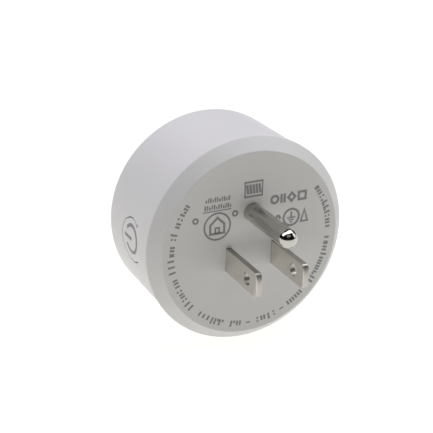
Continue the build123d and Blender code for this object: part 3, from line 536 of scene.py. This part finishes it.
def open_tree(name, inputs):
    """A new Geometry Nodes tree with those named inputs, and the node that gives their values."""
    group = bpy.data.node_groups.new(name, "GeometryNodeTree")
    for label, kind in inputs.items():
        group.interface.new_socket(label, in_out="INPUT", socket_type="NodeSocket" + kind)
    group.interface.new_socket("Geometry", in_out="OUTPUT", socket_type="NodeSocketGeometry")
    tree = Tree(group)
    return tree, tree.node("NodeGroupInput")


def close_tree(tree, shape, finish):
    """Ends a Geometry Nodes tree with its shape made real and coated, and returns the group."""
    real = tree.node("GeometryNodeRealizeInstances", None, {"Geometry": shape})
    sockets = {"Geometry": real, "Material": finish}
    coated = tree.node("GeometryNodeSetMaterial", None, sockets)
    tree.node("NodeGroupOutput", None, {"Geometry": coated})
    return tree.tree


def run_tree(name, group, values, points=()):
    """The plain mesh that a Geometry Nodes group makes from its named inputs and given points."""
    start = bpy.data.meshes.new(name)
    start.from_pydata(points, [], [])
    holder = bpy.data.objects.new(name, start)
    bpy.context.scene.collection.objects.link(holder)
    modifier = holder.modifiers.new("nodes", "NODES")
    modifier.node_group = group
    for socket in group.interface.items_tree:
        if socket.item_type == "SOCKET" and socket.in_out == "INPUT" and socket.name in values:
            modifier[socket.identifier] = values[socket.name]
    bpy.context.view_layer.update()
    made = holder.evaluated_get(bpy.context.evaluated_depsgraph_get())
    mesh = bpy.data.meshes.new_from_object(made)
    bpy.data.objects.remove(holder)
    return mesh


def bar(u, foot, top, width=0.56):
    """An upright bar of a mark row."""
    return lambda bm: stroke(bm, [(u, foot), (u, top)], width)


# The plain shapes that the runs of marks are made of, round the middle of their row. Twin bars
# stand this far to either side of it.
MARK_FOOT = -0.8
TWIN = 0.42
MARK_SHAPES = {
    "mark_tall": (bar(0, MARK_FOOT, 1.0),),
    "mark_short": (bar(0, MARK_FOOT, 0.5),),
    "mark_twin": (bar(-TWIN, MARK_FOOT, 0.5), bar(TWIN, MARK_FOOT, 0.5)),
    "mark_block": (bar(0, MARK_FOOT, 0.5, 0.95),),
    "mark_dots": (bar(0, MARK_FOOT, -0.3, 0.55), bar(0, 0.15, 0.65, 0.55)),
    "mark_step": (bar(-TWIN, MARK_FOOT, 0.9), bar(TWIN, MARK_FOOT, -0.1)),
    "mark_rise": (bar(-TWIN, MARK_FOOT, 0.0), bar(TWIN, MARK_FOOT, 0.6)),
}


def mark_row_tree():
    """Geometry Nodes: marks picked at random and set along an arc of the rear face."""
    inputs = {
        "Marks": "Collection",
        "Ink": "Material",
        "Count": "Int",
        "Radius": "Float",
        "Start Angle": "Float",
        "Sweep": "Float",
        "Size": "Float",
        "Seed": "Int",
    }
    tree, given = open_tree("mark_row", inputs)
    index = tree.node("GeometryNodeInputIndex")
    share = (index + 0.5) / given.output("Count")
    angle = given.output("Start Angle") + share * given.output("Sweep")
    radius = given.output("Radius")
    position = tree.node(
        "ShaderNodeCombineXYZ",
        None,
        {"X": radius * angle.math("COSINE"), "Z": radius * angle.math("SINE")},
    )
    turn = tree.node("ShaderNodeCombineXYZ", None, {"Y": pi / 2 - angle})
    points = tree.node(
        "GeometryNodePoints", None, {"Count": given.output("Count"), "Position": position}
    )
    shapes = tree.node(
        "GeometryNodeCollectionInfo",
        None,
        {"Collection": given.output("Marks"), "Separate Children": True, "Reset Children": True},
    )
    chosen = tree.node(
        "FunctionNodeRandomValue",
        {"data_type": "INT"},
        {"Min": 0, "Max": len(MARK_SHAPES) - 1, "ID": index, "Seed": given.output("Seed")},
    )
    placed = tree.node(
        "GeometryNodeInstanceOnPoints",
        None,
        {
            "Points": points,
            "Instance": shapes,
            "Pick Instance": True,
            "Instance Index": chosen,
            "Rotation": turn,
            "Scale": given.output("Size"),
        },
    )
    return close_tree(tree, placed, given.output("Ink"))


# Each run of marks on the rear face: where it starts and ends, in degrees from +X towards +Z
PRINT_RADIUS = 22.0
PRINT_RUNS = (
    (37, 20),
    (17, 11),
    (8, -13),
    (-16, -43),
    (-48, -70),
    (-75, -84),
    (-94, -111),
    (-119, -133),
    (-140, -177),
    (-181, -216),
)
MARK_PITCH = 1.5
# The middles of the two dashes between runs, half their length in degrees, and their width
PRINT_DASHES = (-89, -115)
DASH_HALF_ANGLE = 1.6
DASH_WIDTH = 0.38


def add_rating_print():
    """The curved print near the rear face's edge, as runs of plain marks and two dashes."""
    marks = bpy.data.collections.new("marks")
    for name, bars in MARK_SHAPES.items():
        bm = bmesh.new()
        for draw in bars:
            draw(bm)
        shape = finished_mesh(name, bm, "print_grey", None)
        bpy.context.scene.collection.objects.unlink(shape)
        marks.objects.link(shape)
    group = mark_row_tree()
    bm = bmesh.new()
    for seed, (start, end) in enumerate(PRINT_RUNS):
        sweep = radians(end - start)
        values = {
            "Marks": marks,
            "Ink": FINISHES["print_grey"],
            "Count": round(abs(sweep) * PRINT_RADIUS / MARK_PITCH),
            "Radius": PRINT_RADIUS * MM,
            "Start Angle": radians(start),
            "Sweep": sweep,
            "Size": 1.0,
            "Seed": seed,
        }
        bm.from_mesh(run_tree("print_run", group, values))
    for angle in PRINT_DASHES:
        ends = (angle - DASH_HALF_ANGLE, angle + DASH_HALF_ANGLE)
        stroke(bm, arc((0, 0), PRINT_RADIUS, *ends, 4), DASH_WIDTH)
    finished_mesh("rating_print", bm, "print_grey", "case")
    for shape in list(marks.objects):
        bpy.data.objects.remove(shape)
    bpy.data.collections.remove(marks)


def add_indoor_mark():
    """A house in a ring, for indoor use."""
    bm = bmesh.new()
    u, v = 9.7, 6.3
    ring_radius, thin, bold = 3.5, 0.5, 0.62
    left, right, foot, eaves, roof = u - 1.9, u + 1.9, v - 1.9, v + 0.5, v + 2.3
    stroke(bm, circle((u, v), ring_radius, 72), thin, True)
    house = [(left, eaves), (u, roof), (right, eaves), (right, foot), (left, foot)]
    stroke(bm, house, bold, True)
    jamb_left, jamb_right, lintel = u - 0.5, u + 0.5, v - 0.4
    door = [(jamb_left, foot), (jamb_left, lintel), (jamb_right, lintel), (jamb_right, foot)]
    stroke(bm, door, thin)
    finished_mesh("indoor_mark", bm, "print_grey", "case")


def add_lot_marks():
    """Two rows of small upright bars above the indoor mark, a rule under them and two dots."""
    bm = bmesh.new()
    first_foot, row_height, pitch = 10.9, 1.9, 0.62
    tall, short, widths = 1.25, 0.8, (0.34, 0.44)
    rule_start, rule_end, rule_height, rule_width = 6.0, 13.6, 10.45, 0.3
    dot_radius, dot_ring = 0.62, 0.5
    for row, (start, count) in enumerate(((6.2, 12), (6.6, 11))):
        foot = first_foot + row_height * row
        for i in range(count):
            u = start + pitch * i
            top = foot + (tall if (i * 5 + row) % 3 else short)
            stroke(bm, [(u, foot), (u, top)], widths[(i + row) % 2])
    stroke(bm, [(rule_start, rule_height), (rule_end, rule_height)], rule_width)
    for dot in ((15.6, 8.6), (4.9, 9.0)):
        stroke(bm, circle(dot, dot_radius, 24), dot_ring, True)
    finished_mesh("lot_marks", bm, "print_grey", "case")


def add_fuse_mark():
    """A framed row of slanting bars above the ground pin."""
    bm = bmesh.new()
    left, right, foot, top = -2.5, 2.3, 12.8, 16.6
    count, margin, gap, slant = 5, 0.5, 0.65, 0.4
    rail_width, bar_width, end_width, overhang = 0.5, 0.68, 0.36, 0.2
    for v in (foot, top):
        stroke(bm, [(left - overhang, v), (right + overhang, v)], rail_width)
    room = right - left - 2 * margin - slant
    for i in range(count):
        u = left + margin + room * i / (count - 1)
        stroke(bm, [(u, foot + gap), (u + slant, top - gap)], bar_width)
    for u in (left, right):
        stroke(bm, [(u, foot), (u, top)], end_width)
    finished_mesh("fuse_mark", bm, "print_grey", "case")


def add_supply_marks():
    """The earth sign in a ring, a mains wave and a delta, under a row of bold plain shapes."""
    bm = bmesh.new()
    hair, thin, medium, bold = 0.38, 0.5, 0.6, 0.66
    u, v = -11.0, 5.4
    ring_radius = 2.2
    stroke(bm, circle((u, v), ring_radius, 60), medium, True)
    stroke(bm, [(u, v + 1.5), (u, v - 0.1)], thin)
    for level, half in ((-0.1, 1.2), (-0.7, 0.75), (-1.3, 0.35)):
        stroke(bm, [(u - half, v + level), (u + half, v + level)], hair)
    wave_start, wave_length, wave_height, wave_steps = -7.9, 2.9, 0.95, 24
    shares = [i / wave_steps for i in range(wave_steps + 1)]
    wave = [(wave_start + wave_length * t, v + wave_height * sin(2 * pi * t)) for t in shares]
    stroke(bm, wave, bold)
    delta = [(-15.7, v - 1.6), (-13.8, v - 1.6), (-14.75, v + 1.5)]
    stroke(bm, delta, thin, True)
    row = 10.9
    small_radius = 0.95
    stroke(bm, circle((-6.1, row), small_radius, 28), bold, True)
    for post in (-8.9, -8.0):
        stroke(bm, [(post, row - 1.2), (post, row + 1.2)], bold)
    diamond = [(-11.9, row), (-10.9, row + 1.1), (-9.9, row), (-10.9, row - 1.1)]
    stroke(bm, diamond, bold, True)
    square = [(-14.9, row - 1.0), (-12.9, row - 1.0), (-12.9, row + 1.0), (-14.9, row + 1.0)]
    stroke(bm, square, bold, True)
    finished_mesh("supply_marks", bm, "print_grey", "case")


def add_power_sign():
    """The on-off sign: a broken ring and a bar, parted where the button's hinge line crosses."""
    hinge = next(joint for joint in frame["joints"] if joint["name"] == "button_press")
    hinge_y = hinge["pos_m"][1]
    u, v = 13.8, 0.4
    radius, half_opening, width = 3.55, 35, 0.9
    bar_start, bar_length, bar_steps = 13.5, 4.5, 8
    for name, body, outer_side in (("power_sign", "button", 1), ("power_sign_end", "case", -1)):
        bm = bmesh.new()
        ring = arc((u, v), radius, half_opening, 360 - half_opening, 96)
        stroke(bm, ring, width, place=on_wall)
        if body == "button":
            shares = [i / bar_steps for i in range(bar_steps + 1)]
            stroke(bm, [(bar_start + bar_length * t, v) for t in shares], width, place=on_wall)
        cut = bmesh.ops.bisect_plane(
            bm,
            geom=bm.verts[:] + bm.edges[:] + bm.faces[:],
            plane_co=(0, hinge_y, 0),
            plane_no=(0, outer_side, 0),
            clear_outer=True,
        )
        edges = [item for item in cut["geom_cut"] if isinstance(item, bmesh.types.BMEdge)]
        bmesh.ops.holes_fill(bm, edges=edges)
        finished_mesh(name, bm, "print_grey", body)


add_rating_print()
add_indoor_mark()
add_lot_marks()
add_fuse_mark()
add_supply_marks()
add_power_sign()


# ---------------------------------------------------------------------------------------------
# Small parts inside that are too fine for the solid model


def scatter_tree():
    """Geometry Nodes: one shape on every given point, turned by random quarter turns about Y."""
    inputs = {
        "Geometry": "Geometry",
        "Shape": "Object",
        "Finish": "Material",
        "Size": "Float",
        "Seed": "Int",
    }
    tree, given = open_tree("small_parts", inputs)
    index = tree.node("GeometryNodeInputIndex")
    quarter = tree.node(
        "FunctionNodeRandomValue",
        {"data_type": "INT"},
        {"Min": 0, "Max": 1, "ID": index, "Seed": given.output("Seed")},
    )
    turn = tree.node("ShaderNodeCombineXYZ", None, {"Y": quarter * (pi / 2)})
    shape = tree.node("GeometryNodeObjectInfo", None, {"Object": given.output("Shape")})
    placed = tree.node(
        "GeometryNodeInstanceOnPoints",
        None,
        {
            "Points": given.output("Geometry"),
            "Instance": shape.output("Geometry"),
            "Rotation": turn,
            "Scale": given.output("Size"),
        },
    )
    return close_tree(tree, placed, given.output("Finish"))


def coil_tree():
    """Geometry Nodes: round wire wound in one close layer."""
    inputs = {
        "Turns": "Float",
        "Radius": "Float",
        "Height": "Float",
        "Wire Radius": "Float",
        "Finish": "Material",
    }
    tree, given = open_tree("coil", inputs)
    helix = tree.node(
        "GeometryNodeCurveSpiral",
        None,
        {
            "Resolution": 48,
            "Rotations": given.output("Turns"),
            "Start Radius": given.output("Radius"),
            "End Radius": given.output("Radius"),
            "Height": given.output("Height"),
        },
    )
    section = tree.node(
        "GeometryNodeCurvePrimitiveCircle",
        None,
        {"Resolution": 12, "Radius": given.output("Wire Radius")},
    )
    wire = tree.node(
        "GeometryNodeCurveToMesh",
        None,
        {"Curve": helix, "Profile Curve": section, "Fill Caps": True},
    )
    return close_tree(tree, wire, given.output("Finish"))


def dome(bm, radius, height, tip_radius, steps=16):
    """A solder fillet on a pin: a hollow-sided cone with a blunt tip, standing on y = 0."""
    profile = [(radius, 0.0), (radius * 0.72, height * 0.22), (radius * 0.5, height * 0.55)]
    profile += [(tip_radius, height * 0.88), (tip_radius * 0.55, height)]
    rings = []
    for r, y in profile:
        turns = [2 * pi * i / steps for i in range(steps)]
        rings.append([bm.verts.new((r * MM * cos(t), y * MM, r * MM * sin(t))) for t in turns])
    for lower, upper in zip(rings, rings[1:]):
        for i in range(steps):
            j = (i + 1) % steps
            bm.faces.new((lower[i], lower[j], upper[j], upper[i]))
    bm.faces.new(rings[0])
    bm.faces.new(rings[-1])


def brick(bm, size, centre, edge=0.05):
    """A small block with bevelled edges, sized and placed in millimetres."""
    made = bmesh.ops.create_cube(bm, size=1.0)
    bmesh.ops.scale(bm, vec=[s * MM for s in size], verts=made["verts"])
    bmesh.ops.translate(bm, vec=[c * MM for c in centre], verts=made["verts"])
    edges = {e for v in made["verts"] for e in v.link_edges}
    bmesh.ops.bevel(bm, geom=list(edges), offset=edge * MM, segments=2, affect="EDGES", profile=0.5)


def clear_of(place, keep_outs):
    """Whether a place on a board is outside every (x, z, radius) circle."""
    return all(hypot(place[0] - x, place[1] - z) > r for x, z, r in keep_outs)


def set_on_board(name, draw, finish, places, plane, size=1.0, seed=0):
    """Sets one small shape on board places, in the plane's coordinates, as one piece."""
    bm = bmesh.new()
    draw(bm)
    shape = finished_mesh("shape", bm, finish, None)
    values = {"Shape": shape, "Finish": FINISHES[finish], "Size": size, "Seed": seed}
    points = [(x * MM, 0, z * MM) for x, z in places]
    mesh = run_tree(name, SMALL_PARTS, values, points)
    bpy.data.objects.remove(shape)
    mesh.transform(plane)
    bm = bmesh.new()
    bm.from_mesh(mesh)
    finished_mesh(name, bm, finish, "case")


SMALL_PARTS = scatter_tree()

board_low, board_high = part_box("main_board")
BOARD_REAR = Matrix.Translation((0, board_high.y, 0))
BOARD_FRONT = Matrix.Translation((0, board_low.y, 0)) @ Matrix.Rotation(pi, 4, "Z")
_, control_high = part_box("control_board")
CONTROL_OUTSIDE = Matrix.Translation((control_high.x, 0, 0)) @ Matrix.Rotation(-pi / 2, 4, "Z")

# Places on the boards in millimetres, along X and Z on the main board
RELAY_PINS = ((-10.5, -19.0), (-10.5, -13.0), (-3.0, -16.0), (5.0, -19.0), (5.0, -13.0))
LEADS = ((-15.9, 4.0), (-15.9, 6.0), (-15.9, -4.0), (-15.9, -6.0), (-13.8, 14.6), (-11.4, 14.6))
LEADS += ((-5.6, 17.6), (-0.8, 18.8), (4.4, 18.4))
BLADE_TABS = ((6.35, -3.33), (-6.35, -3.33))
# What the chips keep clear of, each with its radius: the three screw pillars and the shunt on
# the main board, and the switch on the control board
MAIN_KEEP_OUTS = ((10.25, -17.75, 3.6), (10.25, 17.75, 3.6), (-20.5, 0, 3.6), (-5.8, -13.0, 4.6))
CONTROL_KEEP_OUTS = ((-16.2, 0, 5.4),)
LEAD_CLEARANCE = 2.1
CHIP_ZONE_RADIUS = 21.8
# A power chip's body and ends, and how far their middles are off the board and off its middle
CHIP_SIZE = (1.3, 0.5, 1.15)
CHIP_END_SIZE = (0.38, 0.54, 1.2)
CHIP_RISE = 0.27
CHIP_END_REACH = 0.79
LOGIC_CHIP_SCALE = 0.7
POWER_SEED = 3
LOGIC_SEED = 5


def add_solder():
    """Solder on the rear of the main board round every lead, and on the front round the blades."""

    def small(bm):
        dome(bm, radius=0.95, height=0.85, tip_radius=0.42)

    def large(bm):
        dome(bm, radius=1.5, height=0.9, tip_radius=0.75)

    set_on_board("pin_solder", small, "tin", RELAY_PINS + LEADS, BOARD_REAR)
    set_on_board("blade_solder", large, "tin", BLADE_TABS, BOARD_FRONT)


def add_chip_parts():
    """Surface-mounted parts: ceramic bodies with tinned ends, in rows where the boards are free."""

    def body(bm):
        brick(bm, CHIP_SIZE, (0, CHIP_RISE, 0))

    def ends(bm):
        for side in (-1, 1):
            brick(bm, CHIP_END_SIZE, (side * CHIP_END_REACH, CHIP_RISE, 0))

    keep_outs = [(x, z, LEAD_CLEARANCE) for x, z in RELAY_PINS + LEADS] + list(MAIN_KEEP_OUTS)
    rows = [(-9 + 3.2 * i, -21.2 + 2.9 * j) for i in range(7) for j in range(3)]
    rows += [(19.5, -9 + 3.0 * i) for i in range(7)]
    rows += [(-8 + 3.2 * i, 20.8) for i in range(6)]
    rear = [p for p in rows if hypot(*p) < CHIP_ZONE_RADIUS and clear_of(p, keep_outs)]
    power = (rear, BOARD_REAR, 1.0, POWER_SEED)
    set_on_board("power_chips", body, "ceramic_tan", *power)
    set_on_board("power_chip_ends", ends, "tin", *power)
    grid = [(-24.2 + 2.1 * i, z) for i in range(7) for z in (-8.4, -5.6, 9.2)]
    outside = [(-y, z) for y, z in grid if clear_of((y, z), CONTROL_KEEP_OUTS)]
    logic = (outside, CONTROL_OUTSIDE, LOGIC_CHIP_SCALE, LOGIC_SEED)
    set_on_board("logic_chips", body, "chip_black", *logic)
    set_on_board("logic_chip_ends", ends, "tin", *logic)


CHOKE_WIRE_RADIUS = 0.27 * MM
CHOKE_CORE_RADIUS = 2.9 * MM
CHOKE_FLANGES = 3.4 * MM


def add_choke_winding():
    """The enamelled wire wound on the choke's drum."""
    low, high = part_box("inductor")
    centre = (low + high) / 2
    wire = CHOKE_WIRE_RADIUS
    height = (high.y - low.y) - CHOKE_FLANGES
    values = {
        "Turns": height / (2 * wire),
        "Radius": CHOKE_CORE_RADIUS + wire,
        "Height": height,
        "Wire Radius": wire,
        "Finish": FINISHES["enamel_wire"],
    }
    mesh = run_tree("choke_winding", coil_tree(), values)
    stand = Matrix.Translation((centre.x, centre.y + height / 2, centre.z))
    mesh.transform(stand @ Matrix.Rotation(pi / 2, 4, "X"))
    bm = bmesh.new()
    bm.from_mesh(mesh)
    finished_mesh("choke_winding", bm, "enamel_wire", "case", smooth=True)


def add_antenna():
    """The radio module's folded printed antenna, beyond the end of its shield."""
    low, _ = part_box("radio_module")
    near, far, first, pitch, folds, width = -19.8, -24.4, -6.6, 1.55, 9, 0.4
    inner = near - 0.9

    def on_module(u, v, height):
        """A point of the module's face, u along Y and v along Z."""
        return Vector((low.x - height, u, v))

    bm = bmesh.new()
    path = [(near, first)]
    for i in range(folds):
        v = first + pitch * i
        half_way = v + pitch / 2
        path += [(far, v), (far, half_way), (inner, half_way), (inner, v + pitch)]
    stroke(bm, path[:-1], width, place=on_module)
    finished_mesh("antenna", bm, "gold_flash", "case")


add_solder()
add_chip_parts()
add_choke_winding()
add_antenna()


# ---------------------------------------------------------------------------------------------
# Staging


def add_camera():
    """A long lens from behind and above, a little to the button's side."""
    azimuth, elevation, roll = radians(153.772), radians(22.735), radians(1.126)
    distance, across, up = 300 * MM, -8.806 * MM, 6.774 * MM
    back = Vector((sin(azimuth) * cos(elevation), -cos(azimuth) * cos(elevation), sin(elevation)))
    level = Vector((0, 0, 1)).cross(back).normalized()
    upright = back.cross(level)
    right = cos(roll) * level + sin(roll) * upright
    top = cos(roll) * upright - sin(roll) * level
    data = bpy.data.cameras.new("camera")
    data.lens = 99.8
    data.sensor_width = 36
    data.clip_start = 0.01
    camera = bpy.data.objects.new("camera", data)
    turn = Matrix((right, top, back)).transposed().to_4x4()
    camera.matrix_world = Matrix.Translation(distance * back + across * right + up * top) @ turn
    bpy.context.scene.collection.objects.link(camera)
    bpy.context.scene.camera = camera


def add_light(name, place, target, width, depth, power, colour):
    """A soft rectangular light at a place, turned to a target."""
    data = bpy.data.lights.new(name, "AREA")
    data.shape = "RECTANGLE"
    data.size = width
    data.size_y = depth
    data.energy = power
    data.color = colour
    light = bpy.data.objects.new(name, data)
    place, target = Vector(place), Vector(target)
    turn = (target - place).to_track_quat("-Z", "Y").to_matrix().to_4x4()
    light.matrix_world = Matrix.Translation(place) @ turn
    bpy.context.scene.collection.objects.link(light)


def add_floor(half_size, level):
    """A plain pale floor that glows a little, so that it shows almost no shadow."""
    mesh = bpy.data.meshes.new("floor")
    corners = ((-1, -1), (1, -1), (1, 1), (-1, 1))
    places = [(x * half_size, y * half_size, level) for x, y in corners]
    mesh.from_pydata(places, [], [(0, 1, 2, 3)])
    finish = Finish("floor_white")
    fibres = finish.noise(2.0, 3)
    sockets = {
        "Base Color": finish.mixed(fibres, (0.21, 0.21, 0.21), (0.19, 0.19, 0.19)),
        "Roughness": 0.9,
        "Emission Color": (1, 0.988, 0.95, 1),
        "Emission Strength": 0.92,
    }
    mesh.materials.append(finish.finish(sockets))
    floor = bpy.data.objects.new("floor", mesh)
    bpy.context.scene.collection.objects.link(floor)


def add_world(brightness):
    """A dim even surrounding."""
    world = bpy.data.worlds.new("studio")
    world.use_nodes = True
    tree = Tree(world.node_tree)
    sockets = {"Color": (1, 1, 1, 1), "Strength": brightness}
    shine = tree.node("ShaderNodeBackground", None, sockets)
    tree.node("ShaderNodeOutputWorld", None, {"Surface": shine})
    bpy.context.scene.world = world


WHITE_LIGHT = (1, 1, 1)
COOL_LIGHT = (0.96, 0.943, 1.0)
MIDDLE = (0, 0, 0)
# Each light's name, its place, what it points at, its width, depth, watts and colour
LIGHTS = (
    ("softbox_left", (0.225, -0.06, 0.42), (0.02, 0, 0), 0.25, 0.5, 1.08, COOL_LIGHT),
    ("softbox_right", (-0.18, -0.06, 0.42), (-0.02, 0, 0), 0.25, 0.5, 1.62, COOL_LIGHT),
    ("softbox_back", (0.1, -0.5, 0.3), MIDDLE, 0.5, 0.4, 0.31, COOL_LIGHT),
    ("strip_back", (0.15, -0.5, 0.05), MIDDLE, 0.5, 0.15, 0.11, WHITE_LIGHT),
    ("fill_front", (0.05, 0.35, 0.42), MIDDLE, 0.4, 0.25, 0.12, WHITE_LIGHT),
    ("fill_right", (-0.45, 0.1, 0.2), MIDDLE, 0.3, 0.3, 0.43, WHITE_LIGHT),
)
FLOOR_HALF_SIZE = 20
SURROUNDING_BRIGHTNESS = 0.004

add_camera()
add_world(SURROUNDING_BRIGHTNESS)
add_floor(FLOOR_HALF_SIZE, CAD_BOX[0].z)
for light in LIGHTS:
    add_light(*light)
bpy.context.scene.view_settings.view_transform = "Standard"
